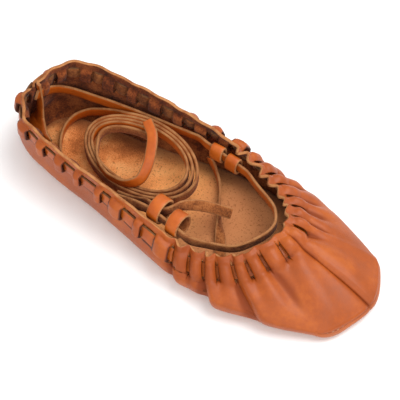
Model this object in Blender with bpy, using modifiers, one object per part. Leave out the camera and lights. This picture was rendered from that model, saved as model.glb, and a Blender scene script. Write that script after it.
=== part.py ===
# Gathered leather dance shoe: one hide folded up round the foot, with a thonged collar,
# pleated front, lapped heel, loose insole, lace keepers and a tie lace put away inside.
# Metres, +Z up, toe towards +X, origin on the floor under the middle of the shoe.

import math
from collections import namedtuple

import bmesh
import bpy
from mathutils import Matrix, Vector

# Driving dimensions
LENGTH = 0.250
BALL_HALF_WIDTH = 0.051
HEEL_HEIGHT = 0.050
WALL = 0.002
CLEARANCE = 0.0003

# Collar: a plain band, then a row of upright slits
BAND_DEPTH = 0.004
SLIT_DEPTH = 0.012
SLIT_RAMP = 0.0022
SLIT_WIDTH = 0.0012
SIDE_STRIPS = 18
SIDE_STRIP_WIDTH = 0.00796
GATHER_STRIPS = 16
OUTWARD_BULGE = 0.0027
INWARD_BULGE = 0.0023
STRIP_CROWN = 0.0004

# Pleats below and above the slits, all round the gathered front
PLEAT_AT_RIM = 0.0015
PLEAT_BELOW_SLITS = 0.0022
PLEAT_FADE = 1.5
SEAM_DEPTH = 0.0014
SEAM_RIDGE = 0.0010
SEAM_RIDGE_STRIPS = 1.6
SEAM_RIDGE_WIDTH = 1.1
SEAM_CREASE_WIDTH = 0.4
SEAM_REACH = 6.0

# Heel flaps: the far one laps inside the near one, by so many strips
FAR_LAP = 1.0
NEAR_SPLAY = 0.0014
FAR_TUCK_AT_RIM = 0.0018
FAR_TUCK_LOW = 0.0060
FLAP_SHIFT_FADE = 0.024
FLAP_ROOT = 0.0080
FLAP_EDGE = 0.0008

# Insole, thong and tie lace
INSOLE_THICKNESS = 0.002
INSOLE_STEPS = 24
THONG_WIDTH = 0.007
THONG_THICKNESS = 0.0016
THONG_OFFSET = 0.0002
LACE_WIDTH = 0.0068
LACE_THICKNESS = 0.0018
LACE_OFFSET = -0.0054
LACE_SPACING = 0.0055
KEEPER_BLEND = 0.014
LACE_IN_LOOP = 0.0024

# Rounding of the wall between its three lines: share of the plan step and of the drop
RIM_REACH = 0.33
RIM_DROP = 0.33
SIDE_REACH = 0.20
SIDE_RISE = 0.34
UNDER_DROP = 0.60
UNDER_REACH = 0.50
PROFILE_STEPS = 20
NORMAL_STEP = 0.0008

# Rows of the wall below the slits: shares of the way to its widest line, then on to the tread. The
# heel's flaps part above the notch.
WALL_SHARES = (0.25, 0.5, 0.75, 1.0)
FEATHER_SHARES = (0.35, 0.70, 1.0)
NOTCH_SHARE = 0.75
NOTCH_ROW = 7
SLIT_ROWS = (2, 3)
ROW_COUNT = 12

# Colour and roughness of each leather
UPPER_LEATHER = ((0.50, 0.135, 0.038), 0.42)
INSOLE_LEATHER = ((0.46, 0.21, 0.085), 0.85)
THONG_LEATHER = ((0.42, 0.12, 0.040), 0.5)
KEEPER_LEATHER = ((0.52, 0.15, 0.045), 0.42)
LACE_LEATHER = ((0.45, 0.15, 0.055), 0.6)

# Half sections from the heel to the toe: the rim, the widest line of the side and the edge of the
# flat tread. Along is a share of LENGTH, out of BALL_HALF_WIDTH and up of HEEL_HEIGHT. Far is the far
# half's width as a share of the near one's: the gathers pull the far side of the ball in.
Section = namedtuple(
    "Section",
    "name rim_along rim_out rim_up side_along side_out side_up tread_along tread_out far",
)
SECTIONS = [
    Section("heel_back", 0.024, 0.00, 1.00, 0.000, 0.00, 0.32, 0.036, 0.00, 1.00),
    Section("heel_turn", 0.038, 0.33, 0.98, 0.020, 0.31, 0.32, 0.050, 0.21, 1.00),
    Section("heel_corner", 0.068, 0.51, 0.97, 0.060, 0.47, 0.32, 0.080, 0.34, 1.00),
    Section("heel_side", 0.120, 0.61, 0.95, 0.120, 0.55, 0.32, 0.124, 0.39, 1.01),
    Section("quarter", 0.200, 0.66, 0.89, 0.200, 0.62, 0.30, 0.200, 0.45, 1.02),
    Section("waist", 0.340, 0.71, 0.80, 0.340, 0.73, 0.28, 0.340, 0.55, 1.04),
    Section("keepers", 0.468, 0.74, 0.67, 0.476, 0.88, 0.26, 0.476, 0.69, 1.03),
    Section("ball_back", 0.560, 0.735, 0.55, 0.584, 0.98, 0.26, 0.580, 0.78, 0.97),
    Section("ball", 0.632, 0.65, 0.54, 0.692, 1.00, 0.26, 0.688, 0.80, 0.90),
    Section("small_toe", 0.690, 0.51, 0.60, 0.812, 0.90, 0.24, 0.804, 0.73, 0.86),
    Section("toe_side", 0.716, 0.33, 0.66, 0.916, 0.70, 0.18, 0.896, 0.55, 0.88),
    Section("toe_corner", 0.736, 0.15, 0.70, 0.960, 0.54, 0.13, 0.932, 0.39, 0.94),
    Section("toe_tip", 0.741, 0.00, 0.72, 1.000, 0.00, 0.15, 0.968, 0.00, 1.00),
]

# Long troughs that run from a gathered strip down the side. Strip counts from the heel, run is the
# share of the wall from the slits to the tread, lean is in strips, width in strips, depth in metres.
Fold = namedtuple("Fold", "strip run lean width depth")
FOLDS = [
    Fold(20.5, 0.55, 0.4, 0.8, 0.0012),
    Fold(22.5, 0.95, 0.8, 0.9, 0.0026),
    Fold(26.5, 0.85, 0.8, 1.0, 0.0022),
    Fold(30.5, 0.70, 0.4, 1.2, 0.0016),
]
FOLD_ONSET = 0.1
FOLD_HOLD = 0.4

# Lace keepers: strips from the heel, clear opening across and up, lift of the loop's centre above
# the rim, and side (-1 near, 1 far)
Keeper = namedtuple("Keeper", "name side strip across up lift")
KEEPERS = [
    Keeper("keeper_near_rear", -1, 16.2, 0.0140, 0.0140, 0.0020),
    Keeper("keeper_near_front", -1, 18.0, 0.0130, 0.0140, 0.0030),
    Keeper("keeper_far_rear", 1, 16.6, 0.0050, 0.0100, -0.0050),
    Keeper("keeper_far_front", 1, 18.2, 0.0050, 0.0100, -0.0045),
]
KEEPER_BAND = 0.0016
KEEPER_WIDTH = 0.0085
KEEPER_POINTS = 20

# Depth of the held lace's upper edge below the rim, from the far heel flap to the near keepers, and
# its inset: none where it lies along the wall, else level steps inwards from the rim, where it
# stands free of the gathers. Side is as above, strip counts from the heel.
LaceDepth = namedtuple("LaceDepth", "side strip depth inset")
LACE_DEPTHS = [
    LaceDepth(1, 0.6, 0.0110, 0.0),
    LaceDepth(1, 2.5, 0.0200, 0.0),
    LaceDepth(1, 5.0, 0.0205, 0.0),
    LaceDepth(1, 8.0, 0.0170, 0.0),
    LaceDepth(1, 12.0, 0.0130, 0.0),
    LaceDepth(1, 15.5, 0.0078, 0.0),
    LaceDepth(1, 18.0, 0.0060, 0.0060),
    LaceDepth(1, 24.0, 0.0032, 0.0062),
    LaceDepth(1, 29.0, 0.0030, 0.0062),
    LaceDepth(1, 34.0, 0.0028, 0.0064),
    LaceDepth(-1, 30.0, 0.0028, 0.0074),
    LaceDepth(-1, 26.5, 0.0028, 0.0090),
    LaceDepth(-1, 22.5, 0.0030, 0.0104),
    LaceDepth(-1, 18.0, 0.0060, 0.0080),
    LaceDepth(-1, 16.0, 0.0060, 0.0060),
    LaceDepth(-1, 15.2, 0.0060, 0.0060),
]

# Loose lace: a coil of turns that stands on the insole and leans up on the far side, and the strips that
# lead to it and from it. A route's points are millimetres from the heel, across (near side minus) and
# above the floor, at the middle of the strip, with its roll in degrees from standing on edge.
COIL_CENTRE = (0.0785, 0.0063)
COIL_OUTER = (0.0400, 0.0245)
COIL_INNER = (0.0310, 0.0155)
COIL_TILT = 23.0
COIL_POINTS = 40
RoutePoint = namedtuple("RoutePoint", "along across up roll")
ROUTES = {
    "lace_near_run": [
        RoutePoint(107.5, -29.5, 29.0, 0), RoutePoint(97, -30.0, 25.5, 0), RoutePoint(83, -30.0, 20.5, 0),
        RoutePoint(67, -28.5, 14.5, 0), RoutePoint(51, -25.0, 10.0, 0), RoutePoint(38, -18.5, 8.4, 0),
        RoutePoint(28, -8.0, 8.2, 0), RoutePoint(22.5, 4.0, 8.2, 0), RoutePoint(23, 14.0, 8.8, 0),
        RoutePoint(29, 20.4, 11.8, 0), RoutePoint(38, 23.2, 16.0, 0), RoutePoint(46, 24.4, 19.4, 0),
    ],
    "lace_arch_end": [
        RoutePoint(79, -14.5, 15.8, 0), RoutePoint(87.2, -8.0, 18.2, -30), RoutePoint(87.7, 0.0, 23.2, -60),
        RoutePoint(85.1, 8.0, 28.2, -80), RoutePoint(80.6, 16.0, 32.2, -94), RoutePoint(72, 23.0, 32.6, -100),
    ],
    "lace_free_end": [
        RoutePoint(80, -18.6, 9.4, 0), RoutePoint(90, -20.0, 14.2, 0), RoutePoint(98, -21.4, 20.0, 0),
        RoutePoint(104, -23.0, 25.5, 0), RoutePoint(111, -25.5, 30.0, 0), RoutePoint(119, -25.2, 31.6, 0),
        RoutePoint(125, -15.0, 29.8, -25), RoutePoint(132, -7.0, 24.6, -50), RoutePoint(139, -1.0, 18.4, -52),
        RoutePoint(147, 4.0, 13.4, -52),
    ],
    "lace_cross": [
        RoutePoint(108, 29.0, 15.0, 0), RoutePoint(117, 28.0, 10.2, 0), RoutePoint(125, 23.0, 8.4, 0),
        RoutePoint(133, 12.0, 8.2, 0), RoutePoint(141, -0.5, 8.2, 0), RoutePoint(149, -11.0, 8.2, 0),
        RoutePoint(157, -23.0, 8.2, 0),
    ],
}
ROUTE_SPACING = 0.007
MM = 0.001


def make_material(name, leather):
    color, roughness = leather
    material = bpy.data.materials.new(name)
    material.use_nodes = True
    shader = material.node_tree.nodes["Principled BSDF"]
    shader.inputs["Base Color"].default_value = (*color, 1.0)
    shader.inputs["Roughness"].default_value = roughness
    shader.inputs["Metallic"].default_value = 0.0
    material.diffuse_color = (*color, 1.0)
    return material


def add_part(name, data, leather):
    part = bpy.data.objects.new(name, data)
    part.data.materials.append(make_material(name, leather))
    parts.objects.link(part)
    part.parent = root
    return part


def add_solidify(part, thickness):
    modifier = part.modifiers.new("Thickness", "SOLIDIFY")
    modifier.thickness = thickness
    modifier.offset = 0.0
    modifier.use_rim = True


def smoothstep(value):
    value = min(max(value, 0.0), 1.0)
    return value * value * (3.0 - 2.0 * value)


def hermite(knots, values, at):
    # Smooth curve through values at rising knots, with slopes from the neighbours
    last = len(knots) - 1
    index = 0
    while index < last - 1 and at > knots[index + 1]:
        index += 1

    def slope(place):
        low = max(place - 1, 0)
        high = min(place + 1, last)
        return (values[high] - values[low]) / (knots[high] - knots[low])

    span = knots[index + 1] - knots[index]
    t = (at - knots[index]) / span
    start = values[index]
    end = values[index + 1]
    rise = slope(index) * span
    fall = slope(index + 1) * span
    keep = 2 * t**3 - 3 * t**2 + 1
    return keep * start + (1 - keep) * end + (t**3 - 2 * t**2 + t) * rise + (t**3 - t**2) * fall


def section_lines():
    # The table in metres, with its second and last-but-one rows mirrored past the ends, so that both
    # halves meet smoothly at the heel and at the toe
    rows = []
    for section in SECTIONS:
        rim = Vector((section.rim_along * LENGTH, section.rim_out * BALL_HALF_WIDTH,
                      section.rim_up * HEEL_HEIGHT))
        side = Vector((section.side_along * LENGTH, section.side_out * BALL_HALF_WIDTH,
                       section.side_up * HEEL_HEIGHT))
        tread = Vector((section.tread_along * LENGTH, section.tread_out * BALL_HALF_WIDTH, WALL / 2))
        rows.append((rim, side, tread))

    def mirrored(row):
        return tuple(Vector((point.x, -point.y, point.z)) for point in row)

    rows = [mirrored(rows[1])] + rows + [mirrored(rows[-2])]
    girths = [0.0]
    for before, after in zip(rows, rows[1:]):
        girths.append(girths[-1] + (after[0] - before[0]).length)
    heel = girths[1]
    far = [section.far for section in SECTIONS]
    return rows, [girth - heel for girth in girths], [far[1]] + far + [far[-2]]


ROWS, GIRTHS, FAR_SHARES = section_lines()
HALF_GIRTH = GIRTHS[-2]
GATHER_START = SIDE_STRIPS * SIDE_STRIP_WIDTH
GATHER_STRIP_WIDTH = (HALF_GIRTH - GATHER_START) / GATHER_STRIPS
STRIPS = SIDE_STRIPS + GATHER_STRIPS
SLIT_BOTTOM = BAND_DEPTH + SLIT_DEPTH


def girth_of(strip):
    # Distance along the rim from the heel's centre to a strip boundary
    if strip <= SIDE_STRIPS:
        return strip * SIDE_STRIP_WIDTH
    return GATHER_START + (strip - SIDE_STRIPS) * GATHER_STRIP_WIDTH


def strip_of(girth):
    if girth <= GATHER_START:
        return girth / SIDE_STRIP_WIDTH
    return SIDE_STRIPS + (girth - GATHER_START) / GATHER_STRIP_WIDTH


def bezier(points, t):
    a, b, c, d = points
    s = 1.0 - t
    return s**3 * a + 3 * s * s * t * b + 3 * s * t * t * c + t**3 * d


PROFILES = {}


def profile(girth):
    # Points down the middle of the wall, from the rim to the tread, with their depth along the wall
    key = round(girth, 7)
    if key in PROFILES:
        return PROFILES[key]
    rim, side, tread = (
        Vector([hermite(GIRTHS, [row[line][axis] for row in ROWS], girth) for axis in range(3)])
        for line in range(3)
    )
    plan = Vector((side.x - rim.x, side.y - rim.y, 0.0))
    drop = Vector((0.0, 0.0, rim.z - side.z))
    upper_curve = (rim, rim + RIM_REACH * plan - RIM_DROP * drop,
                   side - SIDE_REACH * plan + SIDE_RISE * drop, side)
    under = Vector((side.x - tread.x, side.y - tread.y, 0.0))
    lower_curve = (side, side - Vector((0.0, 0.0, UNDER_DROP * side.z)),
                   tread + UNDER_REACH * under, tread)
    points = [bezier(upper_curve, step / PROFILE_STEPS) for step in range(PROFILE_STEPS)]
    points += [bezier(lower_curve, step / PROFILE_STEPS) for step in range(PROFILE_STEPS + 1)]
    depths = [0.0]
    for before, after in zip(points, points[1:]):
        depths.append(depths[-1] + (after - before).length)
    PROFILES[key] = (points, depths)
    return PROFILES[key]


def side_depth(girth):
    return profile(abs(girth))[1][PROFILE_STEPS]


def tread_depth(girth):
    return profile(abs(girth))[1][-1]


def wall_point(side, girth, depth):
    # A point in the middle of the wall. A girth below zero is past the heel's centre, on the other side.
    if girth < 0.0:
        side = -side
        girth = -girth
    points, depths = profile(girth)
    index = 0
    while index < len(depths) - 2 and depth > depths[index + 1]:
        index += 1
    share = (depth - depths[index]) / (depths[index + 1] - depths[index])
    point = points[index].lerp(points[index + 1], share)
    width = hermite(GIRTHS, FAR_SHARES, girth) if side > 0 else -1.0
    return Vector((point.x, width * point.y, point.z))


def wall_normal(side, girth, depth):
    # Outward normal, from small steps along and down the wall
    along = wall_point(side, girth + NORMAL_STEP, depth) - wall_point(side, girth - NORMAL_STEP, depth)
    high = max(depth - NORMAL_STEP, 0.0)
    low = min(depth + NORMAL_STEP, tread_depth(girth))
    down = wall_point(side, girth, low) - wall_point(side, girth, high)
    return side * along.cross(down).normalized()


def flap_shift(side, girth, depth):
    # The near heel flap stands out a little, and the far one tucks in behind it, more so lower down
    near_heel = 1.0 - smoothstep(girth / FLAP_SHIFT_FADE)
    notch = SLIT_BOTTOM + NOTCH_SHARE * (side_depth(girth) - SLIT_BOTTOM)
    fade = smoothstep((notch - depth) / FLAP_ROOT)
    low = min(depth / SLIT_BOTTOM, 1.0)
    tuck = FAR_TUCK_AT_RIM + low * (FAR_TUCK_LOW - FAR_TUCK_AT_RIM)
    return (NEAR_SPLAY if side < 0 else -tuck) * near_heel * fade


def pleat_wave(girth):
    # Strips with an odd number stand out, the others lie in
    strip = strip_of(girth)
    return -math.sin(math.pi * strip) if strip > SIDE_STRIPS else 0.0


def fold_relief(girth, depth):
    strip = strip_of(girth)
    if strip <= SIDE_STRIPS or depth <= SLIT_BOTTOM:
        return 0.0
    down = (depth - SLIT_BOTTOM) / (tread_depth(girth) - SLIT_BOTTOM)
    relief = 0.0
    for fold in FOLDS:
        across = (strip - fold.strip - fold.lean * down) / fold.width
        fade = smoothstep((down / fold.run - FOLD_HOLD) / (1.0 - FOLD_HOLD))
        strength = smoothstep(down / FOLD_ONSET) * (1.0 - fade)
        relief -= fold.depth * strength * math.exp(-across * across)
    return relief


def seam_relief(girth, depth):
    # Crease along the vamp's centre seam between two soft ridges
    from_seam = STRIPS - strip_of(girth)
    if from_seam > SEAM_REACH or depth > side_depth(girth):
        return 0.0
    ridge = SEAM_RIDGE * math.exp(-((from_seam - SEAM_RIDGE_STRIPS) / SEAM_RIDGE_WIDTH) ** 2)
    crease = SEAM_DEPTH * math.exp(-((from_seam / SEAM_CREASE_WIDTH) ** 2))
    return ridge - crease


def wall_relief(girth, depth):
    # Relief of the wall above and below the slits
    if depth <= BAND_DEPTH:
        return PLEAT_AT_RIM * pleat_wave(girth)
    down = min((depth - SLIT_BOTTOM) / (side_depth(girth) - SLIT_BOTTOM), 1.0)
    pleat = PLEAT_BELOW_SLITS * (1.0 - max(down, 0.0)) ** PLEAT_FADE * pleat_wave(girth)
    return pleat + fold_relief(girth, depth) + seam_relief(girth, depth)


def place(side, girth, depth, relief):
    normal = wall_normal(side, girth, depth)
    return wall_point(side, girth, depth) + (relief + flap_shift(side, girth, depth)) * normal


def strip_bulge(strip, at_edge):
    # The far flap's lap is the end of its first strip
    strip = max(strip, 0.0)
    crown = 0.0 if at_edge else STRIP_CROWN
    if math.floor(strip) % 2:
        return OUTWARD_BULGE + crown
    return -INWARD_BULGE - crown


def half_columns(lap):
    # Columns of one half in strips from the heel, two to a gathered strip. A lap is before the heel.
    columns = [-lap] if lap else []
    columns += [float(strip) for strip in range(SIDE_STRIPS + 1)]
    columns += [SIDE_STRIPS + 0.5 * half for half in range(1, 2 * GATHER_STRIPS + 1)]
    return columns


def row_depths(girth):
    below = side_depth(girth) - SLIT_BOTTOM
    under = tread_depth(girth) - side_depth(girth)
    slit = [0.0, BAND_DEPTH, BAND_DEPTH + SLIT_RAMP, SLIT_BOTTOM - SLIT_RAMP, SLIT_BOTTOM]
    wall = [SLIT_BOTTOM + share * below for share in WALL_SHARES]
    feather = [side_depth(girth) + share * under for share in FEATHER_SHARES]
    return slit + wall + feather


def build_upper():
    # One surface lofted over the columns of both halves, slit at the collar and thickened
    mesh = bmesh.new()
    shared = {}

    def vertex(side, strip, row, toward):
        # Toward is the strip that a slit's edge belongs to; elsewhere both strips share the vertex
        slit = row in SLIT_ROWS
        at_boundary = float(strip).is_integer()
        centre_front = strip == STRIPS
        centre_heel = strip == 0 and row >= NOTCH_ROW
        bulge = strip_bulge(toward, at_boundary)
        edge = 0.0
        if slit and at_boundary and 0 < strip < STRIPS:
            edge = math.copysign(SLIT_WIDTH / 2, toward - strip)
        key_side = 0 if centre_front or centre_heel else side
        key = (key_side, strip, row, edge)
        if key not in shared:
            girth = girth_of(strip)
            depth = row_depths(girth)[row]
            relief = bulge if slit else wall_relief(girth, depth)
            if strip == 0 and side < 0 and row < NOTCH_ROW:
                girth += FLAP_EDGE
            shared[key] = mesh.verts.new(place(side, girth + edge, depth, relief))
        return shared[key]

    def add_face(corners, side):
        unique = list(dict.fromkeys(corners))
        if len(unique) > 2:
            mesh.faces.new(unique if side > 0 else reversed(unique))

    for side, lap in ((-1, 0.0), (1, FAR_LAP)):
        columns = half_columns(lap)
        for left, right in zip(columns, columns[1:]):
            toward = (left + right) / 2
            rows = NOTCH_ROW - 1 if left < 0 else ROW_COUNT - 1
            for row in range(rows):
                add_face([vertex(side, left, row, toward), vertex(side, left, row + 1, toward),
                          vertex(side, right, row + 1, toward), vertex(side, right, row, toward)], side)

    # Flat bottom between the two tread lines, along a row of points on the centre line
    tread_row = ROW_COUNT - 1
    columns = half_columns(0.0)
    centre = {}
    for strip in columns:
        edge = vertex(1, strip, tread_row, strip + 0.25)
        at_end = strip in (0, STRIPS)
        centre[strip] = edge if at_end else mesh.verts.new((edge.co.x, 0.0, WALL / 2))
    for side in (-1, 1):
        for left, right in zip(columns, columns[1:]):
            add_face([vertex(side, left, tread_row, left + 0.25), centre[left], centre[right],
                      vertex(side, right, tread_row, right - 0.25)], side)

    data = bpy.data.meshes.new("upper")
    mesh.to_mesh(data)
    mesh.free()
    data.shade_smooth()
    upper = add_part("upper", data, UPPER_LEATHER)
    add_solidify(upper, WALL)
    return upper


def tread_line(side):
    girths = [HALF_GIRTH * step / INSOLE_STEPS for step in range(INSOLE_STEPS + 1)]
    return [wall_point(side, girth, tread_depth(girth)) for girth in girths]


def build_insole():
    outline = bpy.data.curves.new("insole", "CURVE")
    outline.dimensions = "2D"
    outline.fill_mode = "BOTH"
    outline.extrude = INSOLE_THICKNESS / 2
    near = tread_line(-1)
    far = tread_line(1)
    edge = near + far[-2:0:-1]
    spline = outline.splines.new("POLY")
    spline.points.add(len(edge) - 1)
    for point, place_on_edge in zip(spline.points, edge):
        point.co = (place_on_edge.x, place_on_edge.y, 0.0, 1.0)
    spline.use_cyclic_u = True
    insole = add_part("insole", outline, INSOLE_LEATHER)
    insole.location.z = WALL + CLEARANCE + INSOLE_THICKNESS / 2


def ribbon(name, upper_edge, lower_edge, thickness, leather):
    # A flat strap: an open surface between two edges, thickened
    mesh = bmesh.new()
    pairs = [(mesh.verts.new(top), mesh.verts.new(low)) for top, low in zip(upper_edge, lower_edge)]
    for (top, low), (next_top, next_low) in zip(pairs, pairs[1:]):
        mesh.faces.new((top, low, next_low, next_top))
    data = bpy.data.meshes.new(name)
    mesh.to_mesh(data)
    mesh.free()
    data.shade_smooth()
    strap = add_part(name, data, leather)
    add_solidify(strap, thickness)


def build_thong():
    # Straight through the slits, between the strips that stand out and those that lie in
    stations = [(-1, strip) for strip in range(STRIPS + 1)]
    stations += [(1, strip) for strip in range(STRIPS - 1, -1, -1)]
    top = BAND_DEPTH + (SLIT_DEPTH - THONG_WIDTH) / 2
    edges = []
    for depth in (top, top + THONG_WIDTH):
        edges.append([place(side, girth_of(strip), depth, THONG_OFFSET) for side, strip in stations])
    ribbon("gathering_thong", *edges, THONG_THICKNESS, THONG_LEATHER)


def keeper_centre(keeper):
    # Centre of a loop, inside the rim and clear of the strips that stand inwards
    girth = girth_of(keeper.strip)
    rim = wall_point(keeper.side, girth, BAND_DEPTH)
    ahead = wall_point(keeper.side, girth + SLIT_RAMP, BAND_DEPTH) - rim
    along = Vector((ahead.x, ahead.y, 0.0)).normalized()
    inward = keeper.side * Vector((along.y, -along.x, 0.0))
    reach = INWARD_BULGE + STRIP_CROWN + WALL / 2 + CLEARANCE + KEEPER_BAND + keeper.across / 2
    return rim + reach * inward + Vector((0.0, 0.0, keeper.lift)), inward


def held_point(keeper):
    # The held lace lies at the loop's outer side
    centre, inward = keeper_centre(keeper)
    return centre - (keeper.across / 2 - LACE_IN_LOOP) * inward


def held_in_keepers(side, girth):
    # Place of the lace's middle on the line through one side's keepers, and how far it is held there
    rear, front = (keeper for keeper in KEEPERS if keeper.side == side)
    start = girth_of(rear.strip)
    end = girth_of(front.strip)
    share = (girth - start) / (end - start)
    line = held_point(rear).lerp(held_point(front), share)
    away = max(start - girth, girth - end) - KEEPER_WIDTH
    return line, 1.0 - smoothstep(away / KEEPER_BLEND)


def rim_inset(side, girth, inset, drop):
    # A place level with the wall's rim, moved inwards and down
    rim = wall_point(side, girth, 0.0)
    ahead = wall_point(side, girth + NORMAL_STEP, 0.0) - wall_point(side, girth - NORMAL_STEP, 0.0)
    along = Vector((ahead.x, ahead.y, 0.0)).normalized()
    inward = side * Vector((along.y, -along.x, 0.0))
    return rim + inset * inward - Vector((0.0, 0.0, drop))


def build_tie_lace():
    # The held lace lies inside the wall, clear of the strips that stand inwards, and stands free in front
    knots = []
    for row in LACE_DEPTHS:
        girth = girth_of(row.strip)
        knots.append(girth if row.side > 0 else 2 * HALF_GIRTH - girth)
    depths = [row.depth for row in LACE_DEPTHS]
    insets = [max(row.inset, -LACE_OFFSET) for row in LACE_DEPTHS]
    freedoms = [1.0 if row.inset else 0.0 for row in LACE_DEPTHS]
    count = math.ceil((knots[-1] - knots[0]) / LACE_SPACING)
    edges = ([], [])
    for step in range(count + 1):
        travelled = knots[0] + (knots[-1] - knots[0]) * step / count
        side = 1 if travelled <= HALF_GIRTH else -1
        girth = travelled if side > 0 else 2 * HALF_GIRTH - travelled
        depth = hermite(knots, depths, travelled)
        inset = hermite(knots, insets, travelled)
        free = min(max(hermite(knots, freedoms, travelled), 0.0), 1.0)
        line, held = held_in_keepers(side, girth)
        for edge, drop in zip(edges, (0.0, LACE_WIDTH)):
            on_wall = place(side, girth, depth + drop, LACE_OFFSET)
            beside = on_wall.lerp(rim_inset(side, girth, inset, depth + drop), free)
            in_loop = line + Vector((0.0, 0.0, LACE_WIDTH / 2 - drop))
            edge.append(beside.lerp(in_loop, held))
    ribbon("tie_lace", *edges, LACE_THICKNESS, LACE_LEATHER)


def build_keeper(keeper):
    # A leather loop: two ovals filled between, as wide as the band, standing across the rim
    loop = bpy.data.curves.new(keeper.name, "CURVE")
    loop.dimensions = "2D"
    loop.fill_mode = "BOTH"
    loop.extrude = KEEPER_WIDTH / 2
    for grow in (0.0, KEEPER_BAND):
        spline = loop.splines.new("POLY")
        spline.points.add(KEEPER_POINTS - 1)
        spline.use_cyclic_u = True
        for index, point in enumerate(spline.points):
            angle = 2 * math.pi * index / KEEPER_POINTS
            point.co = ((keeper.across / 2 + grow) * math.cos(angle),
                        (keeper.up / 2 + grow) * math.sin(angle), 0.0, 1.0)
    part = add_part(keeper.name, loop, KEEPER_LEATHER)
    centre, inward = keeper_centre(keeper)
    up = Vector((0.0, 0.0, 1.0))
    axes = Matrix((inward, up, inward.cross(up))).transposed()
    part.matrix_local = Matrix.Translation(centre) @ axes.to_4x4()


def build_lace_route(name):
    # A flat strip along a smooth curve through its route, standing on edge where its roll is zero
    rows = ROUTES[name]
    middles = [MM * Vector((row.along, row.across, row.up)) for row in rows]
    knots = [0.0]
    for before, after in zip(middles, middles[1:]):
        knots.append(knots[-1] + (after - before).length)
    count = math.ceil(knots[-1] / ROUTE_SPACING)
    strip = bpy.data.curves.new(name, "CURVE")
    strip.dimensions = "3D"
    strip.twist_mode = "Z_UP"
    strip.bevel_depth = LACE_THICKNESS / 2
    strip.bevel_resolution = 1
    strip.extrude = LACE_WIDTH / 2 - LACE_THICKNESS / 2
    strip.use_fill_caps = True
    spline = strip.splines.new("POLY")
    spline.points.add(count)
    for index, point in enumerate(spline.points):
        travelled = knots[-1] * index / count
        place_on_route = [hermite(knots, [middle[axis] for middle in middles], travelled)
                          for axis in range(3)]
        point.co = (*place_on_route, 1.0)
        point.tilt = math.radians(hermite(knots, [row.roll for row in rows], travelled))
    add_part(name, strip, LACE_LEATHER)


def build_lace_coil():
    # The outer shape of the lace's turns: an oval ring, as tall as the lace is wide, near edge on the insole
    ring = bpy.data.curves.new("lace_coil", "CURVE")
    ring.dimensions = "2D"
    ring.fill_mode = "BOTH"
    ring.extrude = LACE_WIDTH / 2
    for half_length, half_width in (COIL_OUTER, COIL_INNER):
        spline = ring.splines.new("POLY")
        spline.points.add(COIL_POINTS - 1)
        spline.use_cyclic_u = True
        for index, point in enumerate(spline.points):
            angle = 2 * math.pi * index / COIL_POINTS
            point.co = (half_length * math.cos(angle), half_width * math.sin(angle), 0.0, 1.0)
    coil = add_part("lace_coil", ring, LACE_LEATHER)
    tilt = math.radians(COIL_TILT)
    insole_top = WALL + CLEARANCE + INSOLE_THICKNESS
    rise = COIL_OUTER[1] * math.sin(tilt) + LACE_WIDTH / 2 * math.cos(tilt)
    coil.location = (*COIL_CENTRE, insole_top + CLEARANCE + rise)
    coil.rotation_euler = (tilt, 0.0, 0.0)


def centre_on_floor():
    # Moves the root so that the origin is on the floor under the middle of the upper
    bpy.context.view_layer.update()
    evaluated = body.evaluated_get(bpy.context.evaluated_depsgraph_get())
    corners = [Vector(corner) for corner in evaluated.bound_box]
    low = Vector([min(corner[axis] for corner in corners) for axis in range(3)])
    high = Vector([max(corner[axis] for corner in corners) for axis in range(3)])
    root.location = (-(low.x + high.x) / 2, -(low.y + high.y) / 2, -low.z)


for stale in list(bpy.data.objects):
    bpy.data.objects.remove(stale, do_unlink=True)
parts = bpy.data.collections.new("dance_shoe")
bpy.context.scene.collection.children.link(parts)
root = bpy.data.objects.new("shoe_root", None)
parts.objects.link(root)

body = build_upper()
build_insole()
build_thong()
build_tie_lace()
for row_of_keeper in KEEPERS:
    build_keeper(row_of_keeper)
for route_name in ROUTES:
    build_lace_route(route_name)
build_lace_coil()
centre_on_floor()
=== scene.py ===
import math

import bmesh
import bpy
import numpy as np
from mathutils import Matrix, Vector


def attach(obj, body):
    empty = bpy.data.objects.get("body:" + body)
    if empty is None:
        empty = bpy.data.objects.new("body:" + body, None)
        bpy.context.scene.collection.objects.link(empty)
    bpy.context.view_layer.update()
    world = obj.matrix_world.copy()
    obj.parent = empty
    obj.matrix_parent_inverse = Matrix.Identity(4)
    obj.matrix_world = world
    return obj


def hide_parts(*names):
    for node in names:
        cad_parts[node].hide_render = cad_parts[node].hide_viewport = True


# Leather dance shoe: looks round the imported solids. Metres, row frame, toe towards +X, near side -Y.

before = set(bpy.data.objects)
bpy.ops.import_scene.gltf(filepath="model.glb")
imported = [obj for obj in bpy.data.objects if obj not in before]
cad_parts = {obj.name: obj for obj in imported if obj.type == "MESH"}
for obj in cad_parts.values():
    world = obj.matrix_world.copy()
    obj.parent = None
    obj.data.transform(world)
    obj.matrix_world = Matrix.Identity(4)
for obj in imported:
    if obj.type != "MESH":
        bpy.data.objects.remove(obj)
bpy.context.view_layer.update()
mm = 0.001
heelLine = np.array([-0.12438, 0.0013, 0.0])  # zero of the shoe's own measures: the heel, on the floor
print("frame loaded:", len(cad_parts), "nodes")


# Camera at the photograph's angle, on a long lens
view = {
    "azimuth": 34.34,
    "elevation": 54.97,
    "distance": 2.0,
    "aim": (0.0024, 0.0013, 0.0195),
    "across": 0.2424,  # metres of the shoe that fill the frame
    "sensor": 36.0,
    "farthest": 20.0,
}


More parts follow.
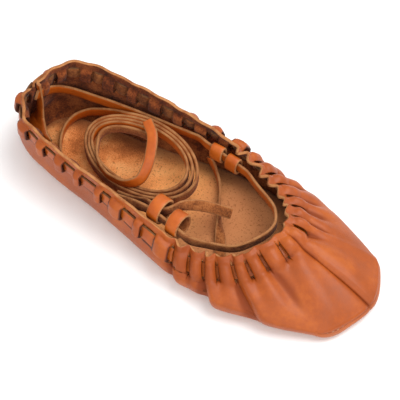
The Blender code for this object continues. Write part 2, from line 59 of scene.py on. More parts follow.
def addCamera():
    turn = math.radians(view["azimuth"])
    rise = math.radians(view["elevation"])
    back = Vector((math.sin(turn) * math.cos(rise), -math.cos(turn) * math.cos(rise), math.sin(rise)))
    lens = bpy.data.cameras.new("camera")
    lens.sensor_width = view["sensor"]
    lens.lens = view["sensor"] * view["distance"] / view["across"]
    lens.clip_end = view["farthest"]
    camera = bpy.data.objects.new("camera", lens)
    camera.location = Vector(view["aim"]) + view["distance"] * back
    camera.rotation_euler = (-back).to_track_quat("-Z", "Y").to_euler()
    bpy.context.scene.collection.objects.link(camera)
    bpy.context.scene.camera = camera


addCamera()
print("camera set")


# Shader sums: a wire is a socket that can be added, multiplied and so on
class Wire:
    def __init__(self, finish, socket):
        self.finish = finish
        self.socket = socket

    def __add__(self, other):
        return self.finish.sum("ADD", self, other)

    __radd__ = __add__

    def __sub__(self, other):
        return self.finish.sum("SUBTRACT", self, other)

    def __rsub__(self, other):
        return self.finish.sum("SUBTRACT", other, self)

    def __mul__(self, other):
        return self.finish.sum("MULTIPLY", self, other)

    __rmul__ = __mul__


class Finish:
    def __init__(self, name):
        self.material = bpy.data.materials.new(name)
        self.material.use_nodes = True
        self.nodes = self.material.node_tree.nodes
        self.links = self.material.node_tree.links
        self.shader = self.nodes["Principled BSDF"]

    def join(self, socket, value):
        if isinstance(value, Wire):
            self.links.new(value.socket, socket)
        else:
            socket.default_value = value

    def add(self, kind, settings=None, out=0, **sockets):
        node = self.nodes.new(kind)
        for name, value in (settings or {}).items():
            if name == "stops":
                while len(node.color_ramp.elements) < len(value):
                    node.color_ramp.elements.new(1.0)
                for stop, (place, color) in zip(node.color_ramp.elements, value):
                    stop.position = place
                    stop.color = (*color, 1.0)
            else:
                setattr(node, name, value)
        for name, value in sockets.items():
            key = int(name[1:]) if name[0] == "i" and name[1:].isdigit() else name
            self.join(node.inputs[key], value)
        return Wire(self, node.outputs[out])

    def sum(self, operation, first, second):
        return self.add("ShaderNodeMath", {"operation": operation}, i0=first, i1=second)

    def blend(self, share, first, second):
        settings = {"data_type": "RGBA", "blend_type": "MIX"}
        first = first if isinstance(first, Wire) else (*first, 1.0)
        second = second if isinstance(second, Wire) else (*second, 1.0)
        return self.add("ShaderNodeMix", settings, out=2, i0=share, i6=first, i7=second)

    def ramp(self, value, stops):
        return self.add("ShaderNodeValToRGB", {"stops": stops}, Fac=value)

    def level(self, value, low, high):  # 0 below low, 1 above high
        return self.add("ShaderNodeMapRange", {"clamp": True, "interpolation_type": "SMOOTHSTEP"},
                        Value=value, i1=low, i2=high)

    def here(self, stretch=(1.0, 1.0, 1.0)):
        place = self.add("ShaderNodeTexCoord", out=3)
        return self.add("ShaderNodeMapping", Vector=place, Scale=stretch)

    def noise(self, size, detail=3.0, rough=0.55, stretch=(1.0, 1.0, 1.0)):  # size in metres
        return self.add("ShaderNodeTexNoise", {"noise_dimensions": "3D"}, Vector=self.here(stretch),
                        Scale=1.0 / size, Detail=detail, Roughness=rough)

    def cells(self, size):  # way from the edges of small cells
        return self.add("ShaderNodeTexVoronoi", {"feature": "DISTANCE_TO_EDGE"},
                        Vector=self.here(), Scale=1.0 / size)

    def marked(self, name):  # a number stored on the mesh's points
        return self.add("ShaderNodeAttribute", {"attribute_name": name}, out=2)

    def bumps(self, height, depth, strength):  # depth in metres
        return self.add("ShaderNodeBump", Height=height, Distance=depth, Strength=strength)

    def wear(self, **sockets):
        for name, value in sockets.items():
            self.join(self.shader.inputs[name.replace("_", " ")], value)
        return self.material


def tone(red, green, blue):  # screen colour to light
    shares = (c / 255 for c in (red, green, blue))
    return tuple(c / 12.92 if c < 0.0404 else ((c + 0.055) / 1.055) ** 2.4 for c in shares)


grainLook = {
    "deep": tone(88, 34, 8), "mid": tone(159, 72, 10), "light": tone(175, 86, 18),
    # These three colours are painted light: shade in the creases, shade along the slits, and a reflection of
    # the white floor low on the wall
    "fold": tone(122, 49, 8), "slitShade": tone(70, 26, 6), "floorReflection": tone(220, 156, 118),
    "foldShadeShare": 0.85, "slitShadeShare": 0.9, "floorReflectionShare": 0.40, "floorReflectionUp": (0.001, 0.009),
    "patch": 0.020, "mottle": 0.0032, "pore": 0.0007, "wrinkle": 0.0022, "wrinkleDepth": 0.00014,
    "rough": (0.40, 0.52), "foldRough": 0.25, "coat": 0.13, "coatRough": 0.25, "gloss": 0.30,
}


def grainLeather(name, shade=1.0):  # smooth side of the hide
    f = Finish(name)
    patch = f.noise(grainLook["patch"], 2.0)
    mottle = f.noise(grainLook["mottle"], 4.0, 0.6)
    tint = f.level(patch * 0.65 + mottle * 0.35, 0.26, 0.74)
    deep, mid, light = (tuple(shade * c for c in grainLook[k]) for k in ("deep", "mid", "light"))
    dark = tuple(0.75 * m + 0.25 * d for m, d in zip(mid, deep))
    color = f.ramp(tint, [(0.0, dark), (0.5, mid), (1.0, light)])
    # painted shade in the creases and hollows of the hide, and on the near gathers, read from the hollow mark
    hollow = f.level(f.marked("hollow"), 0.15, 1.0)
    color = f.blend(hollow * grainLook["foldShadeShare"], color, grainLook["fold"])
    # painted shade along the slits and at the feet of the windows, where the gaps are
    slit = f.level(f.marked("slitEdge"), 0.15, 0.85)
    color = f.blend(slit * grainLook["slitShadeShare"], color, grainLook["slitShade"])
    # painted reflection of the white floor along the lowest few millimetres of the wall
    up = f.add("ShaderNodeSeparateXYZ", out=2, Vector=f.here())
    low = 1.0 - f.level(up, *grainLook["floorReflectionUp"])
    color = f.blend(low * grainLook["floorReflectionShare"], color, grainLook["floorReflection"])
    pores = f.level(f.cells(grainLook["pore"]), 0.0, 0.25)
    wrinkles = f.noise(grainLook["wrinkle"], 5.0, 0.62)
    smooth, rough = grainLook["rough"]
    wearAndShade = f.level(mottle * 0.6 + patch * 0.4, 0.3, 0.7)
    return f.wear(
        Base_Color=color,
        Roughness=smooth + (rough - smooth) * wearAndShade + hollow * grainLook["foldRough"],
        Normal=f.bumps(pores * 0.4 + wrinkles, grainLook["wrinkleDepth"], 0.6),
        Coat_Weight=grainLook["coat"] * (1.0 - hollow), Coat_Roughness=grainLook["coatRough"],
        Specular_IOR_Level=grainLook["gloss"],
    )


rawSheen = {"Specular_IOR_Level": 0.2, "Sheen_Weight": 0.05, "Sheen_Roughness": 0.6}
fleshLook = {
    "upper": (tone(60, 24, 8), tone(116, 54, 20), tone(156, 86, 40)),
    "lace": (tone(78, 38, 14), tone(132, 73, 33), tone(170, 105, 56)),
    "patch": 0.010, "nap": 0.0011, "fibre": 0.0004, "napDepth": 0.0004,
}


def fleshLeather(name, tones):  # raw side of the hide
    f = Finish(name)
    patch = f.noise(fleshLook["patch"], 3.0, 0.6)
    nap = f.noise(fleshLook["nap"], 5.0, 0.7)
    fibre = f.noise(fleshLook["fibre"], 3.0, 0.6, (1.0, 0.35, 0.35))
    tint = f.level(patch * 0.45 + nap * 0.35 + fibre * 0.2, 0.36, 0.64)
    deep, mid, light = fleshLook[tones]
    return f.wear(
        Base_Color=f.ramp(tint, [(0.0, deep), (0.5, mid), (1.0, light)]),
        Roughness=0.86 + 0.1 * nap,
        Normal=f.bumps(nap * 0.7 + fibre * 0.3, fleshLook["napDepth"], 0.7),
        **rawSheen,
    )


edgeLook = {
    # the slit colour is painted shade on the cut edges inside the slits
    "core": tone(160, 88, 42), "pale": tone(210, 144, 88), "slit": tone(78, 36, 14),
    "fibre": 0.0005, "fibreDepth": 0.0003, "patch": 0.006, "gloss": 0.3,
}


def cutLeather(name, shade=1.0):  # fibres at a cut edge, with painted shade inside the slits
    f = Finish(name)
    fibre = f.noise(edgeLook["fibre"], 4.0, 0.65)
    patch = f.noise(edgeLook["patch"], 2.0)
    core, pale = (tuple(shade * c for c in edgeLook[k]) for k in ("core", "pale"))
    color = f.blend(f.level(fibre * 0.5 + patch * 0.5, 0.32, 0.62), core, pale)
    return f.wear(
        Base_Color=f.blend(f.level(f.marked("slitEdge"), 0.1, 0.6), color, edgeLook["slit"]),
        Roughness=0.8 + 0.12 * fibre,
        Normal=f.bumps(fibre, edgeLook["fibreDepth"], 0.6),
        Specular_IOR_Level=edgeLook["gloss"],
    )


insoleLook = {
    "deep": tone(152, 82, 38), "mid": tone(209, 124, 64), "light": tone(227, 158, 96),
    # These three colours are painted light: light on the open middle, shade under the vamp, shade along the
    # edges
    "bright": tone(246, 172, 101), "wearAndShade": tone(170, 108, 68), "shade": tone(92, 47, 21),
    "dots": tone(92, 44, 16), "brightAlong": (-0.052, -0.020), "vampShadeAlong": (-0.022, 0.014),
    "brightShare": 0.6, "vampShadeShare": 0.85, "dotShare": 0.6, "shadeShare": 0.7,
    "patch": 0.022, "speck": 0.0013, "fine": 0.0006, "speckDepth": 0.0004,
}


def insoleLeather(name):  # raw sheet with dark specks; painted light on its open middle, painted shade under the vamp and along its edges
    f = Finish(name)
    patch = f.noise(insoleLook["patch"], 3.0, 0.6)
    fine = f.noise(insoleLook["fine"], 4.0, 0.7)
    speckNoise = f.noise(insoleLook["speck"], 4.0, 0.75)
    color = f.ramp(f.level(patch * 0.6 + fine * 0.4, 0.36, 0.62),
                   [(0.0, insoleLook["deep"]), (0.55, insoleLook["mid"]), (1.0, insoleLook["light"])])
    along = f.add("ShaderNodeSeparateXYZ", Vector=f.here())
    # painted light on the open middle, then painted shade towards the toe, under the vamp
    bright = f.level(along, *insoleLook["brightAlong"])
    wearAndShade = f.level(along, *insoleLook["vampShadeAlong"])
    dots = f.level(speckNoise, 0.55, 0.64)
    color = f.blend(bright * insoleLook["brightShare"], color, insoleLook["bright"])
    color = f.blend(wearAndShade * insoleLook["vampShadeShare"], color, insoleLook["wearAndShade"])
    color = f.blend(dots * insoleLook["dotShare"], color, insoleLook["dots"])
    color = f.blend(f.marked("nearEdge") * insoleLook["shadeShare"], color, insoleLook["shade"])
    return f.wear(
        Base_Color=color,
        Roughness=0.84 + 0.12 * fine,
        Normal=f.bumps(fine * 0.5 + speckNoise * 0.5, insoleLook["speckDepth"], 0.6),
        **rawSheen,
    )


threadLook = {"dark": tone(156, 100, 66), "pale": tone(226, 184, 150), "ply": 0.0003, "plyDepth": 0.0002}


def threadFinish(name):  # twisted waxed thread
    f = Finish(name)
    ply = f.noise(threadLook["ply"], 2.0, 0.5, (1.0, 0.4, 1.0))
    return f.wear(
        Base_Color=f.blend(f.level(ply, 0.35, 0.65), threadLook["dark"], threadLook["pale"]),
        Roughness=0.55 + 0.2 * ply,
        Normal=f.bumps(ply, threadLook["plyDepth"], 0.6),
    )


upperGrain = grainLeather("upperGrain")
# lighter copies of the grain for keepers, thong and lace: partly their own tone, partly a painted highlight
strapGrainLit = grainLeather("strapGrainLit", 1.18)
laceGrainLit = grainLeather("laceGrainLit", 1.22)
upperFlesh = fleshLeather("upperFlesh", "upper")
laceFlesh = fleshLeather("laceFlesh", "lace")
cutEdge = cutLeather("cutEdge", 0.72)
laceEdge = cutLeather("laceEdge", 0.60)
# the thong's cut edges, darkened: painted shade in the gaps beside the thong
thongEdgeShaded = cutLeather("thongEdgeShaded", 0.26)
insoleRaw = insoleLeather("insoleRaw")
waxedThread = threadFinish("waxedThread")
print("leathers mixed")


# The last: half sections from heel to toe, as shares of length, ball half width and heel height
last = {"length": 0.250, "ballHalf": 0.051, "heelUp": 0.050, "wall": 0.002, "steps": 48}
rounding = {"rimReach": 0.33, "rimDrop": 0.33, "sideReach": 0.20, "sideRise": 0.34,
            "underDrop": 0.60, "underReach": 0.50}
sections = {  # rimAlong rimOut rimUp, sideAlong sideOut sideUp, treadAlong treadOut, far width
    "heelBack": (0.024, 0.00, 1.00, 0.000, 0.00, 0.32, 0.036, 0.00, 1.00),
    "heelTurn": (0.038, 0.33, 0.98, 0.020, 0.31, 0.32, 0.050, 0.21, 1.00),
    "heelCorner": (0.068, 0.51, 0.97, 0.060, 0.47, 0.32, 0.080, 0.34, 1.00),
    "heelSide": (0.120, 0.61, 0.95, 0.120, 0.55, 0.32, 0.124, 0.39, 1.01),
    "quarter": (0.200, 0.66, 0.89, 0.200, 0.62, 0.30, 0.200, 0.45, 1.02),
    "waist": (0.340, 0.71, 0.80, 0.340, 0.73, 0.28, 0.340, 0.55, 1.04),
    "keepers": (0.468, 0.74, 0.67, 0.476, 0.88, 0.26, 0.476, 0.69, 1.03),
    "ballBack": (0.560, 0.735, 0.55, 0.584, 0.98, 0.26, 0.580, 0.78, 0.97),
    "ball": (0.632, 0.65, 0.54, 0.692, 1.00, 0.26, 0.688, 0.80, 0.90),
    "smallToe": (0.690, 0.51, 0.60, 0.812, 0.90, 0.24, 0.804, 0.73, 0.86),
    "toeSide": (0.716, 0.33, 0.66, 0.916, 0.70, 0.18, 0.896, 0.55, 0.88),
    "toeCorner": (0.736, 0.15, 0.70, 0.960, 0.54, 0.13, 0.932, 0.39, 0.94),
    "toeTip": (0.741, 0.00, 0.72, 1.000, 0.00, 0.15, 0.968, 0.00, 1.00),
}


def eased(low, high, value):  # 0 below low, 1 above high, smooth between
    t = np.clip((value - low) / (high - low), 0.0, 1.0)
    return t * t * (3.0 - 2.0 * t)


def throughKnots(knots, values, at):  # smooth curve through rows of values
    knots = np.asarray(knots, float)
    values = np.asarray(values, float).reshape(len(knots), -1)
    at = np.asarray(at, float)
    ends = np.clip(np.arange(len(knots))[:, None] + [-1, 1], 0, len(knots) - 1)
    slopes = (values[ends[:, 1]] - values[ends[:, 0]]) / (knots[ends[:, 1]] - knots[ends[:, 0]])[:, None]
    i = np.clip(np.searchsorted(knots, at, side="left") - 1, 0, len(knots) - 2)
    span = knots[i + 1] - knots[i]
    t = ((at - knots[i]) / span)[:, None]
    keep = 2 * t**3 - 3 * t**2 + 1
    rise = (t**3 - 2 * t**2 + t) * slopes[i] * span[:, None]
    fall = (t**3 - t**2) * slopes[i + 1] * span[:, None]
    return keep * values[i] + (1 - keep) * values[i + 1] + rise + fall


def unit(ways):
    return ways / np.linalg.norm(ways, axis=-1, keepdims=True)


def runLengths(points):  # way along a line of points, from its start
    return np.concatenate([[0.0], np.cumsum(np.linalg.norm(np.diff(points, axis=0), axis=1))])


def lastLines():  # rim, side and tread lines in metres, mirrored once past heel and toe
    rows = np.array(list(sections.values()))
    size = np.array([last["length"], last["ballHalf"], last["heelUp"]])
    rim = rows[:, 0:3] * size
    side = rows[:, 3:6] * size
    tread = np.column_stack([rows[:, 6:8] * size[:2], np.full(len(rows), last["wall"] / 2)])
    lines = np.stack([rim, side, tread], axis=1)
    flip = np.array([1.0, -1.0, 1.0])
    lines = np.concatenate([lines[1:2] * flip, lines, lines[-2:-1] * flip])
    far = rows[:, 8]
    far = np.concatenate([far[1:2], far, far[-2:-1]])
    girths = runLengths(lines[:, 0])
    return lines, girths - girths[1], far


lastRows, lastGirths, lastFar = lastLines()
halfGirth = lastGirths[-2]


def bezier(a, b, c, d, t):
    s = 1.0 - t
    a, b, c, d = (p[:, None, :] for p in (a, b, c, d))
    t = t[None, :, None]
    s = s[None, :, None]
    return s**3 * a + 3 * s * s * t * b + 3 * s * t * t * c + t**3 * d


class Wall:  # the middle of the hide on one side, as a table over girth and depth below the rim
    girthStep = 0.0004
    depthStep = 0.0005
    start = -0.024  # before the heel's centre, for the near flap's end
    spareGirth = 0.003
    spareDepth = 0.002
    leastNormal = 1e-12
    lastCell = 1.001  # keeps a place inside the table

    def __init__(self, side):
        self.side = side
        girth = np.arange(self.start, halfGirth + self.spareGirth, self.girthStep)
        points, depths = self.profiles(girth)
        self.sideDepths = depths[:, last["steps"]]
        self.treadDepths = depths[:, -1]
        depth = np.arange(0.0, depths.max() + self.spareDepth, self.depthStep)
        table = np.empty((len(girth), len(depth), 3))
        for column in range(len(girth)):
            for axis in range(3):
                table[column, :, axis] = np.interp(depth, depths[column], points[column, :, axis])
        along = np.gradient(table, axis=0)
        down = np.gradient(table, axis=1)
        normal = side * np.cross(along, down)
        length = np.linalg.norm(normal, axis=2, keepdims=True)
        flat = length[..., 0] < self.leastNormal
        normal = normal / np.maximum(length, self.leastNormal)
        normal[flat] = (0.0, 0.0, -1.0)
        self.girths = girth
        self.table = np.concatenate([table, normal], axis=2)

    def profiles(self, girth):
        sign = np.where(girth < 0.0, -self.side, self.side)
        girth = np.abs(girth)
        lines = throughKnots(lastGirths, lastRows, girth).reshape(-1, 3, 3)
        rim, wide, tread = lines[:, 0], lines[:, 1], lines[:, 2]
        plan = (wide - rim) * [1, 1, 0]
        drop = (rim - wide) * [0, 0, 1]
        under = (wide - tread) * [1, 1, 0]
        t = np.linspace(0.0, 1.0, last["steps"] + 1)
        upper = bezier(rim, rim + rounding["rimReach"] * plan - rounding["rimDrop"] * drop,
                       wide - rounding["sideReach"] * plan + rounding["sideRise"] * drop, wide, t[:-1])
        lower = bezier(wide, wide * [1, 1, 1 - rounding["underDrop"]],
                       tread + rounding["underReach"] * under, tread, t)
        points = np.concatenate([upper, lower], axis=1)
        steps = np.linalg.norm(np.diff(points, axis=1), axis=2)
        depths = np.concatenate([np.zeros((len(girth), 1)), np.cumsum(steps, axis=1)], axis=1)
        width = np.where(sign > 0, throughKnots(lastGirths, lastFar, girth)[:, 0], -1.0)
        points[..., 1] *= width[:, None]
        return points, depths

    def at(self, girth, depth):  # points and outward normals
        girth, depth = np.broadcast_arrays(np.asarray(girth, float), np.asarray(depth, float))
        u = np.clip((girth - self.start) / self.girthStep, 0, self.table.shape[0] - self.lastCell)
        v = np.clip(depth / self.depthStep, 0, self.table.shape[1] - self.lastCell)
        i, j = u.astype(int), v.astype(int)
        a, b = (u - i)[..., None], (v - j)[..., None]
        t = self.table
        above = t[i, j] * (1 - a) + t[i + 1, j] * a
        below = t[i, j + 1] * (1 - a) + t[i + 1, j + 1] * a
        both = above * (1 - b) + below * b
        return both[..., :3], unit(both[..., 3:])

    def sideDepth(self, girth):
        return np.interp(girth, self.girths, self.sideDepths)

    def treadDepth(self, girth):
        return np.interp(girth, self.girths, self.treadDepths)


walls = {-1: Wall(-1), 1: Wall(1)}
print("last worked out, half girth", round(halfGirth / mm, 1), "mm")


# Collar: a band, then slits; odd strips stand out over the thong, even ones lie behind it
collar = {
    "band": 0.004, "slit": 0.012, "ramp": 0.0014, "gap": 0.0012, "nearShort": 0.0006, "farShort": 0.0014,
    "sideStrips": 18, "sideWidth": 0.00796, "out": 0.0030, "crown": 0.0014, "in": 0.0028, "sag": 0.00056,
    "footLine": 0.0007, "stripRelief": 0.25, "gatherStrips": 16, "gatherSlot": 0.0010, "gatherGap": 0.0008,
    "gatherTop": 0.0040, "gatherRamp": 0.0060, "gatherLong": 0.0012, "uneven": 0.0013, "gatherOut": 0.0002,
    "gatherCrown": 0.0025, "gatherIn": 0.0034,
}
stripCount = collar["sideStrips"] + collar["gatherStrips"]
slitFoot = collar["band"] + collar["slit"]
handCut = {  # slits beside the collar in mm of girth, given one by one
    -1: (0, 8.6, 17.0, 26.2, 35.0, 43.0, 49.6, 57.8, 65.0,
         73.5, 78.6, 90.2, 95.4, 101.5, 111.6, 121.3, 126.9, 136.7),
    1: (0, 8.0, 15.6, 23.4, 32.3, 40.0, 47.2, 55.6, 64.3,
        71.2, 79.0, 87.9, 96.1, 103.0, 111.0, 119.8, 127.6, 135.0),
}
gathers = {  # middles of the narrow strips between the gathers, in mm of girth
    -1: (149.3, 160.0, 168.5, 176.0, 184.8, 192.5, 200.8, 213.5),
    1: (145.4, 154.6, 165.2, 174.0, 184.4, 193.3, 203.7, 213.2),
}


def slitLines(side):  # girth of each strip's start
    lines = [girth * mm for girth in handCut[side]]
    for middle in gathers[side]:
        lines += [middle * mm - collar["gatherSlot"], middle * mm + collar["gatherSlot"]]
    return np.array(lines + [halfGirth])


slitGirths = {side: slitLines(side) for side in (-1, 1)}


def gatherTurn(side, girth):  # whole at the middle of each narrow strip, half on the crest of each gather
    row = gathers[side]
    middles = np.array([2 * row[0] - row[1], *row, 2 * halfGirth / mm - row[-1]]) * mm
    return np.interp(girth, middles, np.arange(len(middles)) - 1)


def stripAt(side, girth):  # place among the strips, whole at each slit
    return np.interp(girth, slitGirths[side], np.arange(stripCount + 1))


def cutGirth(side, strip):  # and back to the girth
    return np.interp(strip, np.arange(stripCount + 1), slitGirths[side])


def gatherShare(strip):  # 0 beside the collar, 1 among the gathers
    return eased(collar["sideStrips"] - 0.9, collar["sideStrips"] + 0.3, strip)


def girthAt(strip):  # where the keepers and the lace count their strips, all evenly cut
    gatherStart = collar["sideStrips"] * collar["sideWidth"]
    gatherWidth = (halfGirth - gatherStart) / collar["gatherStrips"]
    gathered = max(strip - collar["sideStrips"], 0.0)
    return min(strip, collar["sideStrips"]) * collar["sideWidth"] + gathered * gatherWidth


def slitWindow(side, strip, depth, high, low):  # 1 along a slit, 0 at its ends
    short = collar["farShort" if side > 0 else "nearShort"]
    top = collar["band"] + short
    foot = slitFoot - short
    if strip >= collar["sideStrips"]:  # among the gathers no two are alike, and the near ones are longer
        uneven = collar["uneven"] * math.sin(2.3 * strip + side)
        longer = collar["gatherLong"] if side < 0 else 0.0
        top = collar["band"] - 0.5 * longer - 0.6 * uneven
        foot = slitFoot + longer + uneven
    closing = eased(foot - low, foot + 0.3 * (low - collar["ramp"]), depth)
    return eased(top, top + high, depth) * (1.0 - closing)


pleats = {  # -1 is the near side, 1 the far one
    "rim": 0.0005, "below": {-1: 0.0011, 1: 0.0013}, "fade": {-1: 0.007, 1: 0.009},
    "side": {-1: 0.00020, 1: 0.00035}, "sideFade": 0.006, "heel": {-1: 4.0, 1: 1.0},
    "heelEnd": (0.025, 0.045), "ruffle": 0.0016, "ruffleFade": 0.010, "spacing": 0.009,
    "foot": 0.0013, "footWide": 0.0022, "footHigh": 0.0010, "darkest": 0.0014,
    "shade": {-1: 0.55, 1: 0.0}, "shadeFade": 0.014, "shadeEnd": (27, 33),
}
# Creases, given one by one: side, girth of the line's start, depth of its start and its run, lean along the
# girth, width towards heel and toe, and depth, all in mm; a depth below 0 is a ridge
creaseFade = {"start": (0.0, 0.12), "end": (0.35, 1.0)}  # shares of the run
creaseColumns = "side girth start run lean heelWide toeWide depth".split()
creases = [
    (-1, 148.5, 15, 22, 8.0, 4.5, 1.6, 1.6),
    (-1, 151.5, 15, 22, 8.0, 2.0, 3.5, -1.1),
    (-1, 168.2, 14, 40, 6.4, 5.5, 1.2, 2.8),
    (-1, 171.4, 14, 40, 6.4, 1.8, 5.0, -2.2),
    (-1, 185.0, 15, 42, 5.5, 4.2, 1.3, 2.4),
    (-1, 188.0, 15, 40, 5.5, 2.0, 4.0, -1.8),
    (-1, 196.8, 15, 46, 0.6, 3.4, 3.0, -2.2),
    (-1, 203.4, 16, 48, 2.0, 3.4, 5.5, 1.2),
    (-1, 216.0, 14, 80, -3.2, 3.6, 2.4, -2.5),
    (1, 145.4, 13, 14, 1.0, 3.0, 2.2, 1.2),
    (1, 154.6, 13, 14, 1.0, 3.0, 2.2, 1.2),
    (1, 165.2, 13, 16, 1.0, 3.0, 2.2, 1.3),
    (1, 174.0, 13, 18, 1.0, 3.0, 2.2, 1.5),
    (1, 184.4, 13, 20, 1.5, 3.0, 2.2, 1.6),
    (1, 193.3, 13, 22, 1.5, 3.0, 2.2, 1.6),
    (1, 203.7, 13, 20, 1.0, 3.0, 2.2, 1.6),
    (1, 213.2, 13, 16, 1.0, 2.4, 2.0, 1.3),
    (1, 216.4, 14, 78, 3.0, 3.0, 2.4, -1.9),
]
toeSeam = {"from": 31.6, "groove": 0.0022, "wide": 0.0013, "lip": 0.0004, "lipAt": 0.0018, "lipWide": 0.0009,
           "lipMiddle": 0.0002}
seam = {"depth": 0.0020, "wide": 0.085, "start": (0.002, 0.006), "fold": (0.98, 1.06), "wedge": 0.0020,
        "wedgeWide": 0.28, "wedgeStart": (0.004, 0.010), "wedgeEnd": (0.018, 0.034)}
unevenHide = {"size": 0.00022, "slow": (0.0117, 0.0092), "quick": (0.0071, 0.0133), "quickShare": 0.6}


def wander(girth, depth):  # slow unevenness of a hand-shaped hide
    slowAlong, slowDown = unevenHide["slow"]
    quickAlong, quickDown = unevenHide["quick"]
    slow = np.sin(girth / slowAlong + 1.7) * np.cos(depth / slowDown + 0.6)
    quick = np.sin(girth / quickAlong - depth / quickDown + 2.9)
    return unevenHide["size"] * (slow + unevenHide["quickShare"] * quick)


def wallRelief(side, girth, depth):  # metres outwards from the last
    strip = stripAt(side, girth)
    gathered = gatherShare(strip)
    turn = gatherTurn(side, girth)
    above = 1.0 - eased(0.0, slitFoot, depth)
    past = np.maximum(depth - slitFoot, 0.0)
    below = np.exp(-past / pleats["fade"][side]) * eased(collar["band"], slitFoot, depth)
    relief = -gathered * np.cos(2 * np.pi * turn) * (pleats["rim"] * above + pleats["below"][side] * below)
    sideWave = pleats["side"][side] * (1.0 + pleats["heel"][side] * (1.0 - eased(*pleats["heelEnd"], girth)))
    sideWave = sideWave * (0.6 + 0.4 * above) * np.exp(-past / pleats["sideFade"])
    relief -= (1.0 - gathered) * np.sin(np.pi * strip) * sideWave
    fromSlot = np.abs(turn - np.round(turn)) * pleats["spacing"]
    foot = np.exp(-(fromSlot / pleats["footWide"]) ** 2 - ((depth - slitFoot) / pleats["footHigh"]) ** 2)
    relief -= gathered * pleats["foot"] * foot
    for row in creases:
        c = dict(zip(creaseColumns, row))
        if c["side"] != side:
            continue
        along = (depth / mm - c["start"]) / c["run"]
        off = girth / mm - c["girth"] - c["lean"] * np.clip(along, 0.0, 1.0)
        wide = np.where(off < 0.0, c["heelWide"], c["toeWide"])
        strength = eased(*creaseFade["start"], along) * (1.0 - eased(*creaseFade["end"], along))
        relief -= c["depth"] * mm * strength * np.exp(-(off / wide) ** 2)
    fromSeam = stripCount - strip
    onTop = 1.0 - eased(*seam["fold"], depth / walls[side].sideDepth(girth))
    relief -= seam["depth"] * np.exp(-(fromSeam / seam["wide"]) ** 2) * onTop * eased(*seam["start"], depth)
    wedge = eased(*seam["wedgeStart"], depth) * (1.0 - eased(*seam["wedgeEnd"], depth))
    relief -= seam["wedge"] * np.exp(-(fromSeam / seam["wedgeWide"]) ** 2) * wedge
    fromFold = depth - walls[side].sideDepth(girth)
    across = eased(toeSeam["from"] - 0.5, toeSeam["from"] + 0.3, strip)
    relief -= across * toeSeam["groove"] * np.exp(-(fromFold / toeSeam["wide"]) ** 2)
    fromLip = np.abs(fromFold - toeSeam["lipMiddle"]) - toeSeam["lipAt"]
    relief += across * toeSeam["lip"] * np.exp(-(fromLip / toeSeam["lipWide"]) ** 2)
    flat = 1.0 - eased(0.90, 1.0, depth / walls[side].treadDepth(girth))  # nothing where it stands
    return (relief + wander(girth, depth)) * flat


def ruffle(side, girth, depth):  # the gathered rim winds in and out on the level
    strip = stripAt(side, girth)
    gathered = gatherShare(strip)
    turn = gatherTurn(side, girth)
    size = pleats["ruffle"] * (1.0 + 0.4 * np.sin(3.7 * turn + side))
    size = size * (1.0 - 0.5 * eased(2.5, 5.0, turn))
    wave = -np.cos(2 * np.pi * turn + 0.7 * np.sin(2.6 * turn))
    return gathered * size * wave * (1.0 - eased(0.0, pleats["ruffleFade"], depth))


def gatherShade(side, girth, depth):  # painted shade on the near gathers, fading below the slits and towards the toe's middle
    strip = stripAt(side, girth)
    along = gatherShare(strip) * (1.0 - eased(*pleats["shadeEnd"], strip))
    return pleats["shade"][side] * along * (1.0 - eased(slitFoot, slitFoot + pleats["shadeFade"], depth))


# Heel: the far flap laps inside the near one down to the notch, and its end turns in
heel = {"notch": 0.042, "splay": 0.0016, "bow": 0.0012, "bowAt": 0.020, "bowWide": 0.012, "tuckRim": 0.0016,
        "tuckLow": 0.0058, "tuckSteep": 1.5, "fade": 0.024, "root": 0.010, "lapColumns": 7, "lapTaper": 0.35,
        "lapReach": 0.55, "nearLap": 0.0100, "nearDrop": 0.0060, "dropFade": 0.014}
lapEdge = np.array([  # free edge of the far flap's end: up, along, across in mm
    (6.0, 27.5, -10.2), (10.0, 22.6, -9.6), (13.7, 17.8, -8.0), (20.5, 12.8, -4.0), (27.0, 11.4, -2.0),
    (33.0, 11.0, -1.2), (41.0, 10.4, -1.5), (50.5, 10.0, -2.0),
]) * mm


def flapShift(side, girth, depth):
    nearHeel = 1.0 - eased(0.0, heel["fade"], np.maximum(girth, 0.0))
    root = eased(0.0, heel["root"], heel["notch"] - depth)
    if side < 0:
        bow = heel["bow"] * np.exp(-((girth - heel["bowAt"]) / heel["bowWide"]) ** 2)
        lap = eased(0.0, heel["nearLap"], -girth)
        return (heel["splay"] * nearHeel + bow) * (root + (1.0 - root) * lap)
    share = np.minimum(heel["tuckSteep"] * depth / heel["notch"], 1.0)
    return -(heel["tuckRim"] + (heel["tuckLow"] - heel["tuckRim"]) * share) * nearHeel * root


def rimDrop(side, girth, depth):  # the near flap's corner is cut lower
    drop = heel["nearDrop"] * (1.0 - eased(0.0, heel["dropFade"], girth)) if side < 0 else 0.0
    return drop * np.maximum(1.0 - depth / heel["notch"], 0.0)


def placeOn(side, girth, depth, relief):
    point, normal = walls[side].at(girth, depth)
    lift = relief + flapShift(side, np.broadcast_to(girth, np.shape(point)[:-1]), depth)
    return point + lift[..., None] * normal


upper = {"sideColumns": 6, "gatherColumns": 14, "slotColumns": 5, "thickness": 0.0019, "foldZone": 0.005,
         "lipZone": 0.004, "rows": (4, 11, 27, 9, 6, 7), "bottomRows": 4, "leastEdge": 0.00001}


def upperRows(side, girth):  # depths of the rows from rim to tread, close together at the fold
    none = np.zeros_like(girth)
    wide = walls[side].sideDepth(girth)
    tread = walls[side].treadDepth(girth)
    marks = [none, none + collar["band"], none + slitFoot,
             wide - upper["foldZone"], wide, wide + upper["lipZone"], tread]
    parts = []
    for low, high, count in zip(marks[:-1], marks[1:], upper["rows"]):
        parts.append(low[:, None] + (high - low)[:, None] * np.arange(count) / count)
    parts.append(tread[:, None])
    return np.concatenate(parts, axis=1)


